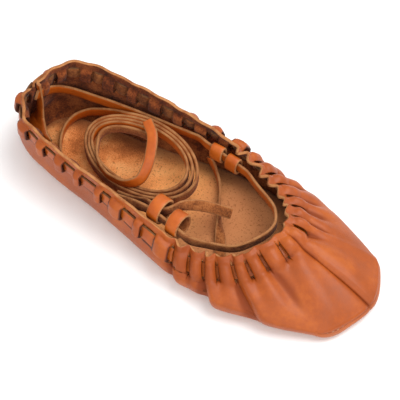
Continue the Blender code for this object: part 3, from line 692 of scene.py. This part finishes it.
def stripSheet(side, strip):  # one strip of the hide from rim to tread: points, painted shade for its hollows, and painted shade along its slits
    gathered = strip >= collar["sideStrips"]
    outwards = strip % 2 == 1
    columns = upper["sideColumns"]
    top, ramp, gap = "ramp", "ramp", "gap"
    if gathered:
        columns = upper["gatherColumns" if outwards else "slotColumns"]
        top, ramp, gap = "gatherTop", "gatherRamp", "gatherGap"
    u = np.linspace(0.0, 1.0, columns + 1)
    left, right = slitGirths[side][strip:strip + 2]
    girth = left + (right - left) * u
    depth = upperRows(side, girth)
    depth = depth + rimDrop(side, girth[:, None], depth)
    window = slitWindow(side, strip, depth, collar[top], collar[ramp])
    pinch = collar[gap] / 2 * slitWindow(side, strip, depth, collar["ramp"], collar["ramp"])
    leftEdge = left + (pinch if strip > 0 else 0.0)
    rightEdge = right - (pinch if strip + 1 < stripCount else 0.0)
    spot = leftEdge + (rightEdge - leftEdge) * u[:, None]
    arch = 1.0 - (2.0 * u[:, None] - 1.0) ** 2
    if gathered and outwards:
        bulge = collar["gatherOut"] + collar["gatherCrown"] * arch
    elif gathered:
        bulge = -collar["gatherIn"]
    elif outwards:
        bulge = collar["out"] + collar["crown"] * arch
    else:
        bulge = -collar["in"] - collar["sag"] * arch
    if strip == 0:
        window = window * eased(0.0, 0.5, u[:, None])
    relief = wallRelief(side, spot, depth)
    lift = relief * (1.0 - window) + (bulge + collar["stripRelief"] * relief) * window
    points = placeOn(side, spot, depth, lift)
    level = walls[side].at(spot, depth)[1] * [1.0, 1.0, 0.0]
    level /= np.maximum(np.linalg.norm(level, axis=-1, keepdims=True), 0.05)  # never by zero
    points += ruffle(side, spot, depth)[..., None] * level
    edge = np.zeros_like(u)  # no slit on the centre line
    edge[0] = strip > 0
    edge[-1] = strip + 1 < stripCount
    line = window * edge[:, None]
    # the window strips also get a line of painted shade along their foot
    if not gathered and not outwards:
        line = np.maximum(line, np.exp(-((depth - slitFoot) / collar["footLine"]) ** 2))
    # hollow mark: painted shade where the hide sinks in, and at least the near gathers' painted shade
    hollow = np.clip(-relief / pleats["darkest"], 0.0, 1.0)
    return points, np.maximum(hollow, gatherShade(side, spot, depth)), line


def lapSheet(side):  # a flap's end past the heel's centre, the far one's turned in to its free edge
    u = np.linspace(0.0, 1.0, heel["lapColumns"] + 1)[:, None]
    depth = np.tile(upperRows(side, np.zeros(1)), (len(u), 1))
    depth = depth[:, depth[0] <= heel["notch"]]
    none = np.zeros_like(depth)
    if side < 0:
        spot = -heel["nearLap"] * (1.0 - u) * (1.0 - heel["lapTaper"] * (depth / heel["notch"]) ** 2)
        depth = depth + rimDrop(side, none, depth)
        return placeOn(side, spot, depth, wallRelief(side, none, depth)), none, none
    start = placeOn(side, none, depth, wallRelief(side, none, depth))
    up = start[..., 2]
    along, across = (np.interp(up, lapEdge[:, 0], lapEdge[:, k]) for k in (1, 2))
    edge = np.stack([along, across, up], axis=-1)
    reach = heel["lapReach"] * np.linalg.norm(edge - start, axis=-1)
    turn = start - reach[..., None] * [0.0, 1.0, 0.0]
    w = (1.0 - u)[..., None]
    return (1 - w) ** 2 * start + 2 * w * (1 - w) * turn + w ** 2 * edge, none, none


def gridFaces(index):  # quads between the rows and columns of a grid of points
    corners = [index[:-1, :-1], index[:-1, 1:], index[1:, 1:], index[1:, :-1]]
    return np.stack(corners, axis=-1).reshape(-1, 4)


def newMesh(name, points, faces, **marks):  # points from the heel, and numbers that a finish reads
    mesh = bpy.data.meshes.new(name)
    mesh.from_pydata((np.reshape(points, (-1, 3)) + heelLine).tolist(), [], faces)
    for mark, values in marks.items():
        store = mesh.attributes.new(mark, "FLOAT", "POINT")
        store.data.foreach_set("value", np.ravel(values).astype(np.float32))
    return mesh


def weld(mesh, leastEdge=None, reach=0.00002):  # joins points that lie on each other
    work = bmesh.new()
    work.from_mesh(mesh)
    bmesh.ops.remove_doubles(work, verts=work.verts, dist=reach)
    if leastEdge:
        bmesh.ops.dissolve_degenerate(work, edges=work.edges, dist=leastEdge)
    work.to_mesh(mesh)
    work.free()


def addPiece(mesh, finishes):
    for finish in finishes:
        mesh.materials.append(finish)
    mesh.shade_smooth()
    piece = bpy.data.objects.new(mesh.name, mesh)
    bpy.context.scene.collection.objects.link(piece)
    return piece


def thicken(piece, thickness, back, rim):  # back and rim: places of those finishes in the list
    skin = piece.modifiers.new("thickness", "SOLIDIFY")
    skin.thickness = thickness
    skin.offset = 0.0
    skin.material_offset = back
    skin.material_offset_rim = rim


def buildUpper():
    points, faces, hollows, slitShadeMarks = [], [], [], []

    def addSheet(grid, hollow, slitEdge, side):
        start = sum(len(p) for p in points)
        columns, rows = grid.shape[:2]
        points.append(grid.reshape(-1, 3))
        hollows.append(hollow.reshape(-1))
        slitShadeMarks.append(slitEdge.reshape(-1))
        quads = gridFaces(start + np.arange(columns * rows).reshape(columns, rows))
        faces.append(quads if side < 0 else quads[:, ::-1])

    for side in (-1, 1):
        for strip in range(stripCount):
            grid, hollow, slitEdge = stripSheet(side, strip)
            if strip + 1 == stripCount:
                grid[-1, :, 1] = 0.0  # both halves meet on the centre line
            if strip == 0:
                joined = upperRows(side, np.zeros(1))[0] > heel["notch"]
                grid[0, joined, 1] = 0.0
            share = np.arange(1, upper["bottomRows"] + 1) / upper["bottomRows"]
            edge = grid[:, -1]
            middle = edge * [1, 0, 1]
            bottom = edge[:, None] + (middle - edge)[:, None] * share[None, :, None]
            extra = np.zeros((len(edge), upper["bottomRows"]))
            addSheet(np.concatenate([grid, bottom], axis=1), np.concatenate([hollow, extra], axis=1),
                     np.concatenate([slitEdge, extra], axis=1), side)
    for side in (-1, 1):
        addSheet(*lapSheet(side), side)

    mesh = newMesh("upperHide", np.concatenate(points), np.concatenate(faces).tolist(),
                   hollow=np.concatenate(hollows), slitEdge=np.concatenate(slitShadeMarks))
    weld(mesh, upper["leastEdge"])
    hide = addPiece(mesh, (upperGrain, upperFlesh, cutEdge))
    thicken(hide, upper["thickness"], back=1, rim=2)
    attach(hide, "root")
    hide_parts("upper")


strapShape = {"rounding": 0.32, "sharp": 50.0}  # share of the thickness, and degrees


def strap(name, centres, ups, width, thickness, finishes, closed=False):
    # A flat leather strip swept along its middle: grain in front, flesh behind, cut edges
    centres = np.asarray(centres, float)
    ups = np.asarray(ups, float)
    ahead = unit(np.gradient(centres, axis=0))
    ups = unit(ups - np.sum(ups * ahead, axis=1, keepdims=True) * ahead)
    out = np.cross(ahead, ups)
    w, t = width / 2, thickness / 2
    r = strapShape["rounding"] * thickness
    ring = np.array([
        (w - r, t), (w, t - r), (w, r - t), (w - r, -t), (w / 3, -t), (-w / 3, -t),
        (r - w, -t), (-w, r - t), (-w, t - r), (r - w, t), (-w / 3, t), (w / 3, t),
    ])
    kinds = [2, 2, 2, 1, 1, 1, 2, 2, 2, 0, 0, 0]  # grain 0, flesh 1, cut edge 2
    points = centres[:, None] + ups[:, None] * ring[None, :, :1] + out[:, None] * ring[None, :, 1:]
    count, sides = points.shape[:2]
    faces, marks = [], []
    for i in range(count if closed else count - 1):
        for j in range(sides):
            k = (j + 1) % sides
            n = (i + 1) % count
            faces.append((i * sides + j, n * sides + j, n * sides + k, i * sides + k))
            marks.append(kinds[j])
    if not closed:
        faces.append(tuple(range(sides)))
        faces.append(tuple(range((count - 1) * sides, count * sides))[::-1])
        marks += [2, 2]
    mesh = newMesh(name, points, faces)
    piece = addPiece(mesh, finishes)
    mesh.polygons.foreach_set("material_index", marks)
    mesh.set_sharp_from_angle(angle=math.radians(strapShape["sharp"]))
    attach(piece, "root")
    return piece


# Tie lace: a held run inside the collar, and loose runs put away in the shoe
lace = {"width": 0.0068, "thick": 0.0018, "step": 0.0022, "inLoop": 0.0024, "blend": 0.014,
        "leastIn": 0.0054, "rimStep": 0.0008, "calming": 14}
laceFinish = (laceGrainLit, laceFlesh, laceEdge)
laceDepths = [  # side, strip from the heel, and in mm: depth of the upper edge, way in from wall and from rim
    (1, -0.7, 3.6, 1.6, 0), (1, 1.0, 11.0, 2.4, 0), (1, 2.8, 18.6, 4.2, 0), (1, 5.0, 20.5, 5.4, 0),
    (1, 8.0, 17.0, 5.4, 0), (1, 12.0, 13.0, 5.4, 0), (1, 15.5, 7.8, 5.4, 0), (1, 18.0, 6.0, 5.4, 6.0),
    (1, 24.0, 3.2, 5.4, 5.6), (1, 29.0, 3.0, 5.4, 5.8), (1, 34.0, 2.8, 5.4, 6.2),
    (-1, 30.0, 2.8, 5.4, 7.4), (-1, 26.5, 2.8, 5.4, 9.0), (-1, 22.5, 3.0, 5.4, 10.4),
    (-1, 18.0, 6.0, 5.4, 8.0), (-1, 16.0, 6.0, 5.4, 6.0), (-1, 15.7, 6.0, 5.4, 6.0),
]
coil = {  # mm and degrees
    "centre": (78.5, 6.3), "outer": (40.0, 23.8), "pitch": 2.05, "start": 124.0, "turns": 3.08, "perTurn": 46,
    "up": 17.3, "tilt": 23.0, "drift": 0.4, "spread": 1.5, "backFrom": 95.0, "backTo": 255.0, "backIn": 3.2,
    "backOut": 8.0, "backUp": 4.6, "overFrom": 0.62, "backPoints": 23,
}
laceRoutes = {  # along, across, up in mm and roll in degrees, at the middle of the strip
    "nearRun": [(113, -30.7, 32.7, 0), (106, -30.2, 31.0, 6), (97, -29.6, 26.8, 26), (83, -29.0, 20.8, 34),
                (67, -27.8, 14.5, 24), (51, -25.0, 10.0, 8), (38, -18.5, 8.4, 0), (28, -8.0, 8.2, 0),
                (22.5, 4.0, 8.2, 0), (23, 14.0, 8.8, 0), (29, 20.4, 11.8, 0), (38, 23.2, 16.0, 0),
                (46, 24.4, 19.4, 0)],
    "archEnd": [(80, -13.2, 15.4, 0), (87.2, -8.0, 18.2, -36), (87.7, 0.0, 23.2, -70), (85.1, 8.0, 28.2, -92),
                (80.6, 16.0, 32.2, -106), (72, 23.0, 32.6, -112)],
    "freeEnd": [(80, -18.6, 9.4, 180), (90, -20.0, 14.2, 180), (98, -21.4, 20.0, 180),
                (104, -23.0, 25.5, 180), (111, -25.5, 30.0, 180), (119, -25.2, 31.6, 180),
                (125, -15.0, 30.2, 155), (132, -7.0, 26.0, 130), (139, -1.0, 21.0, 128),
                (147, 4.0, 16.6, 128)],
    "cross": [(113, 30.6, 18.0, 0), (119, 28.4, 11.2, 0), (126, 22.4, 8.4, 0), (133, 12.0, 8.2, 0),
              (141, -0.5, 8.0, 24), (148, -9.5, 6.4, 78), (157, -23.0, 5.6, 100)],
}


def smoothRoute(rows):  # points every few millimetres on a smooth curve, with the strip's upright
    rows = np.array(rows, float)
    middles = rows[:, :3] * mm
    knots = runLengths(middles)
    at = np.linspace(0.0, knots[-1], int(knots[-1] / lace["step"]) + 2)
    centres = throughKnots(knots, middles, at)
    roll = np.radians(throughKnots(knots, rows[:, 3], at)[:, 0])
    ahead = unit(np.gradient(centres, axis=0))
    upright = unit(np.array([0.0, 0.0, 1.0]) - ahead[:, 2:] * ahead)
    across = np.cross(ahead, upright)
    return centres, np.cos(roll)[:, None] * upright + np.sin(roll)[:, None] * across


def coilRow(degrees, grow, rise, turned):  # a place on the oval that lies tilted up against the far side
    angle, slope = math.radians(degrees), math.radians(coil["tilt"])
    across = (coil["outer"][1] + grow) * math.sin(angle)
    closer = coil["spread"] * max(math.cos(angle), 0.0) * turned
    along = (coil["outer"][0] + grow - closer) * math.cos(angle)
    return (coil["centre"][0] + along, coil["centre"][1] + across * math.cos(slope),
            coil["up"] + across * math.sin(slope) + rise, 0)


def coilRoute():  # turns inside each other, starting at the far side
    rows = []
    for turned in np.linspace(0.0, coil["turns"], int(coil["turns"] * coil["perTurn"])):
        degrees = coil["start"] - 360.0 * turned
        drift = coil["drift"] * math.sin(2.0 * math.radians(degrees) + 0.4)
        rows.append(coilRow(degrees, drift - coil["pitch"] * turned, 0.0, turned))
    return rows


def archRoute():  # from under the arch round the heel end, inside the turns, then up
    rows = []
    for share in np.linspace(0.0, 1.0, coil["backPoints"]):
        over = float(eased(coil["overFrom"], 1.0, share))
        inside = coil["pitch"] * coil["turns"] + coil["backIn"] - coil["backOut"] * over
        rows.append(coilRow(coil["backFrom"] + (coil["backTo"] - coil["backFrom"]) * share, -inside,
                            coil["backUp"] * over, coil["turns"]))
    return rows + laceRoutes["archEnd"]


def pathLength(centres):
    return float(runLengths(centres)[-1])


def declareCord(nodes):
    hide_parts(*nodes)


def buildLooseLace():
    loose = {
        "laceCoiled": (laceRoutes["nearRun"] + coilRoute(), "coiled", ["lace_near_run", "lace_coil"]),
        "laceArch": (archRoute(), "loose", ["lace_arch_end"]),
        "laceFreeEnd": (laceRoutes["freeEnd"], "loose", ["lace_free_end"]),
        "laceCross": (laceRoutes["cross"], "loose", ["lace_cross"]),
    }
    for name, (rows, lay, nodes) in loose.items():
        centres, ups = smoothRoute(rows)
        piece = strap(name, centres, ups, lace["width"], lace["thick"], laceFinish)
        declareCord(nodes)
        print(name, round(pathLength(centres), 3), "m")


keepers = {  # clear opening across and up, and lift above the rim, in mm
    "keeperNearRear": dict(node="keeper_near_rear", side=-1, strip=16.2, across=14.0, up=14.0, lift=2.0),
    "keeperNearFront": dict(node="keeper_near_front", side=-1, strip=18.0, across=13.0, up=14.0, lift=3.0),
    "keeperFarRear": dict(node="keeper_far_rear", side=1, strip=16.6, across=5.0, up=10.0, lift=-5.0),
    "keeperFarFront": dict(node="keeper_far_front", side=1, strip=18.2, across=5.0, up=10.0, lift=-4.5),
}
keeperLook = {"band": 0.0016, "width": 0.0085, "points": 48, "stand": 0.0040}


def levelInward(side, ahead):  # level way into the shoe, square to a way along the rim
    along = unit(np.array([ahead[0], ahead[1], 0.0]))
    return side * np.array([along[1], -along[0], 0.0])


def keeperPlace(name):  # centre of a loop and its way inwards
    keeper = keepers[name]
    wall = walls[keeper["side"]]
    girth = girthAt(keeper["strip"])
    rim = wall.at(girth, collar["band"])[0]
    inward = levelInward(keeper["side"], wall.at(girth + collar["ramp"], collar["band"])[0] - rim)
    reach = keeperLook["stand"] + keeperLook["band"] + keeper["across"] * mm / 2
    return rim + reach * inward + np.array([0.0, 0.0, keeper["lift"] * mm]), inward


def heldPoint(name):  # where the lace runs through a loop
    centre, inward = keeperPlace(name)
    return centre - (keepers[name]["across"] * mm / 2 - lace["inLoop"]) * inward


def buildKeepers():
    up = np.array([0.0, 0.0, 1.0])
    angles = np.linspace(0.0, 2 * np.pi, keeperLook["points"], endpoint=False)
    half = keeperLook["band"] / 2
    for name, keeper in keepers.items():
        centre, inward = keeperPlace(name)
        ring = (centre + np.outer((keeper["across"] * mm / 2 + half) * np.cos(angles), inward)
                + np.outer((keeper["up"] * mm / 2 + half) * np.sin(angles), up))
        ups = np.tile(np.cross(inward, up), (len(ring), 1))
        piece = strap(name, ring, ups, keeperLook["width"], keeperLook["band"],
                      (strapGrainLit, laceFlesh, cutEdge), closed=True)
        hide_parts(keeper["node"])


def rimInset(side, girth, inset, drop):  # level with the rim, moved inwards and down
    step = lace["rimStep"]
    back, rim, front = (walls[side].at(girth + s, 0.0)[0] for s in (-step, 0.0, step))
    return rim + inset * levelInward(side, front - back) - np.array([0.0, 0.0, drop])


def calmed(points, weights):  # evens out a path where it stands free
    for _ in range(lace["calming"]):
        middle = (points[:-2] + points[2:]) / 2
        points[1:-1] += 0.5 * weights[1:-1, None] * (middle - points[1:-1])
    return points


def buildHeldLace():
    knots, rows = [], []
    for side, strip, depth, offset, inset in laceDepths:
        knots.append(girthAt(strip) if side > 0 else 2 * halfGirth - girthAt(strip))
        rows.append((depth * mm, offset * mm, max(inset * mm, lace["leastIn"]), float(inset > 0)))
    travelled = np.linspace(knots[0], knots[-1], int((knots[-1] - knots[0]) / lace["step"]))
    tops, feet, loose = [], [], []
    for far, (depth, offset, inset, free) in zip(travelled, throughKnots(knots, rows, travelled)):
        side = 1 if far <= halfGirth else -1
        girth = far if side > 0 else 2 * halfGirth - far
        free = min(max(free, 0.0), 1.0)
        rear, front = [n for n in keepers if keepers[n]["side"] == side]
        start, end = (girthAt(keepers[n]["strip"]) for n in (rear, front))
        line = heldPoint(rear) + (heldPoint(front) - heldPoint(rear)) * (girth - start) / (end - start)
        away = max(start - girth, girth - end) - keeperLook["width"]
        held = 1.0 - float(eased(0.0, lace["blend"], away))
        loose.append(free * (1.0 - held))
        for edge, down in ((tops, 0.0), (feet, lace["width"])):
            onWall = placeOn(side, np.array([girth]), np.array([depth + down]), np.array([-offset]))[0]
            beside = onWall * (1 - free) + rimInset(side, girth, inset, depth + down) * free
            inLoop = line + np.array([0.0, 0.0, lace["width"] / 2 - down])
            edge.append(beside * (1 - held) + inLoop * held)
    loose = np.array(loose)
    tops, feet = calmed(np.array(tops), loose), calmed(np.array(feet), loose)
    piece = strap("laceHeld", (tops + feet) / 2, tops - feet, lace["width"], lace["thick"], laceFinish)
    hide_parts("tie_lace")


thong = {"width": 0.0092, "thick": 0.0016, "low": 0.0001, "under": -0.0006, "flush": 0.0008,
         "gathered": -0.0024, "dip": (1.0, 1.35), "climb": (1.65, 2.0), "perStrip": 6}


def thongLift(strip):  # under the strips that stand out, nearly flush in the windows between them
    inWindow = strip % 2.0
    rise = 1.0 - eased(*thong["dip"], inWindow) * (1.0 - eased(*thong["climb"], inWindow))
    flush = thong["under"] + (thong["flush"] - thong["under"]) * rise
    gathered = eased(collar["sideStrips"] - 1, collar["sideStrips"] + 1, strip)
    return flush * (1.0 - gathered) + thong["gathered"] * gathered


def buildThong():
    strips = np.linspace(0.0, stripCount, stripCount * thong["perStrip"] + 1)
    stations = [(-1, s) for s in strips] + [(1, s) for s in strips[-2::-1]]
    middle = collar["band"] + collar["slit"] / 2 + thong["low"]
    tops, feet = [], []
    for side, s in stations:
        girth = cutGirth(side, [s])
        for edge, down in ((tops, -thong["width"] / 2), (feet, thong["width"] / 2)):
            edge.append(placeOn(side, girth, np.array([middle + down]), np.array([thongLift(s)]))[0])
    tops, feet = np.array(tops), np.array(feet)
    piece = strap("gatheringThong", (tops + feet) / 2, tops - feet, thong["width"], thong["thick"],
                  (strapGrainLit, laceFlesh, thongEdgeShaded))
    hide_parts("gathering_thong")


stitching = {"strips": (31.8, 33.9), "start": 0.0006, "every": 0.0034, "long": 0.0022, "thick": 0.0009,
             "tip": 0.12, "sides": 6, "points": 5, "trail": 400}


def buildStitches():  # one row along the fold at the toe's front, half sunk in the seam
    points, faces = [], []
    n = stitching["sides"]
    turn = np.linspace(0.0, 2 * np.pi, n, endpoint=False)
    share = np.linspace(0.0, 1.0, stitching["points"])
    thickness = np.sqrt(np.maximum(1.0 - (2.0 * share - 1.0) ** 4, stitching["tip"]))
    radius = stitching["thick"] / 2 * thickness
    for side in (-1, 1):
        trail = np.linspace(*cutGirth(side, stitching["strips"]), stitching["trail"])
        depth = walls[side].sideDepth(trail)
        line = placeOn(side, trail, depth, wallRelief(side, trail, depth) + upper["thickness"] / 2)
        run = runLengths(line)
        for start in np.arange(stitching["start"], run[-1] - stitching["long"], stitching["every"]):
            at = start + stitching["long"] * share
            middle = np.stack([np.interp(at, run, line[:, k]) for k in range(3)], axis=1)
            ahead = unit(middle[-1] - middle[0])
            across = unit(np.cross(ahead, [0.0, 0.0, 1.0]))
            up = np.cross(across, ahead)
            ring = np.cos(turn)[:, None] * across + np.sin(turn)[:, None] * up
            base = len(points)
            for place, size in zip(middle, radius):
                points += list(place + size * ring)
            for row in range(stitching["points"] - 1):
                for k in range(n):
                    a, b = base + row * n + k, base + row * n + (k + 1) % n
                    faces.append((a, b, b + n, a + n))
            faces.append(tuple(base + k for k in range(n))[::-1])
            faces.append(tuple(base + (stitching["points"] - 1) * n + k for k in range(n)))
    piece = addPiece(newMesh("toeStitches", points, faces), (waxedThread,))
    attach(piece, "root")


insole = {"thick": 0.002, "up": 0.0033, "columns": 150, "rows": 40, "inset": 0.985, "wave": 0.00025,
          "waveAlong": 0.013, "waveAcross": 0.011, "shadeFade": (0.002, 0.013)}


def buildInsole():
    girths = np.linspace(0.0, halfGirth, insole["columns"])
    lines = {side: walls[side].at(girths, walls[side].treadDepth(girths))[0] for side in (-1, 1)}
    share = np.linspace(0.0, 1.0, insole["rows"])
    near, far = lines[-1], lines[1]
    grid = near[:, None] + (far - near)[:, None] * share[None, :, None]
    centre = np.array([last["length"] / 2, 0.0, 0.0])
    grid = centre + (grid - centre) * insole["inset"]
    across = np.cos(grid[..., 1] / insole["waveAcross"] + 0.7)
    grid[..., 2] = insole["up"] + insole["wave"] * np.sin(grid[..., 0] / insole["waveAlong"]) * across
    quads = gridFaces(np.arange(grid[..., 0].size).reshape(grid.shape[:2]))[:, [0, 3, 2, 1]]  # facing up
    fromEdge = np.linalg.norm(far - near, axis=1)[:, None] * np.minimum(share, 1.0 - share)[None, :]
    nearEdge = 1.0 - eased(*insole["shadeFade"], fromEdge)
    mesh = newMesh("insoleSheet", grid, quads.tolist(), nearEdge=nearEdge)
    weld(mesh)
    sheet = addPiece(mesh, (insoleRaw, cutEdge))
    thicken(sheet, insole["thick"], back=0, rim=1)
    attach(sheet, "root")
    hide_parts("insole")


buildLooseLace()
buildUpper()
print("hide folded and slit")
buildKeepers()
buildHeldLace()
buildThong()
buildStitches()
buildInsole()
print("straps, laces and insole in place")


# Studio: white floor, bright sky and soft lamps
studio = {
    "floor": 3.0, "gap": 0.0003, "paper": (0.93, 0.93, 0.93, 1.0), "paperRough": 0.9,
    "sky": 0.84, "white": (1.0, 1.0, 1.0, 1.0), "aim": (0.0, 0.0, 0.02),
    "key": {"power": 16.6, "size": 1.1, "place": (0.45, 0.36, 1.36)},
    "fill": {"power": 7.5, "size": 1.4, "place": (0.75, -1.05, 0.95)},
}


def addLamp(name):
    settings = studio[name]
    lamp = bpy.data.lights.new(name, "AREA")
    lamp.energy = settings["power"]
    lamp.size = settings["size"]
    piece = bpy.data.objects.new(name, lamp)
    piece.location = settings["place"]
    way = Vector(studio["aim"]) - Vector(settings["place"])
    piece.rotation_euler = way.to_track_quat("-Z", "Y").to_euler()
    bpy.context.scene.collection.objects.link(piece)


def addStudio():
    half = studio["floor"] / 2
    corners = [(-half, -half, 0), (half, -half, 0), (half, half, 0), (-half, half, 0)]
    mesh = bpy.data.meshes.new("floor")
    mesh.from_pydata(corners, [], [(0, 1, 2, 3)])
    floor = bpy.data.objects.new("floor", mesh)
    floor.location.z = -studio["gap"]
    bpy.context.scene.collection.objects.link(floor)
    paper = Finish("paper")
    mesh.materials.append(paper.wear(Base_Color=studio["paper"], Roughness=studio["paperRough"]))
    sky = bpy.data.worlds.new("sky")
    sky.use_nodes = True
    light = sky.node_tree.nodes["Background"].inputs
    light["Color"].default_value = studio["white"]
    light["Strength"].default_value = studio["sky"]
    bpy.context.scene.world = sky
    addLamp("key")
    addLamp("fill")


addStudio()
bpy.context.scene.view_settings.view_transform = "Standard"
print("studio lit")
